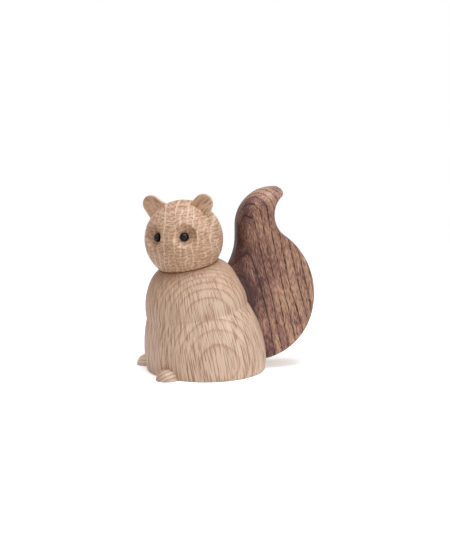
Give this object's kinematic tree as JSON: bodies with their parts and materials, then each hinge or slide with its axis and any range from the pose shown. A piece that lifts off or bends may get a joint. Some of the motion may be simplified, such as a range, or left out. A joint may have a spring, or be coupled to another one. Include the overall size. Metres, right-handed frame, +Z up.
{
  "type": "wooden squirrel figurine",
  "caption": "Sitting wooden squirrel ornament: leaning turned body, ball head that turns on a neck dowel, split-dowel ears and feet, bead eyes and a dark curled tail.",
  "frame": {"origin": "on the flat base, where the turning axis of the body meets it", "axes": "+Z up, -Y the way the feet and the leaning body point, +X to the squirrel's left"},
  "size_m": [0.0562, 0.08, 0.0848],
  "materials": {
    "pale_oak": "oiled satin",
    "head_oak": "oiled satin, end grain to the front",
    "ear_oak": "oiled satin",
    "smoked_oak": "smoked and oiled satin",
    "black_bead": "gloss",
    "beech_dowel": "plain"
  },
  "bodies": {
    "body": {"body": "pale_oak", "left_foot": "ear_oak", "right_foot": "ear_oak", "tail": "smoked_oak", "neck_dowel": "beech_dowel", "tail_dowel_upper": "beech_dowel", "tail_dowel_lower": "beech_dowel"},
    "head": {"head": "head_oak", "left_ear": "ear_oak", "right_ear": "ear_oak", "left_eye": "black_bead", "right_eye": "black_bead"}
  },
  "joints": [
    {"name": "head_turn", "type": "hinge", "parent": "body", "child": "head", "pos_m": [0, -0.00931, 0.04974], "axis": [0, -0.184, 0.9829], "continuous": true}
  ]
}
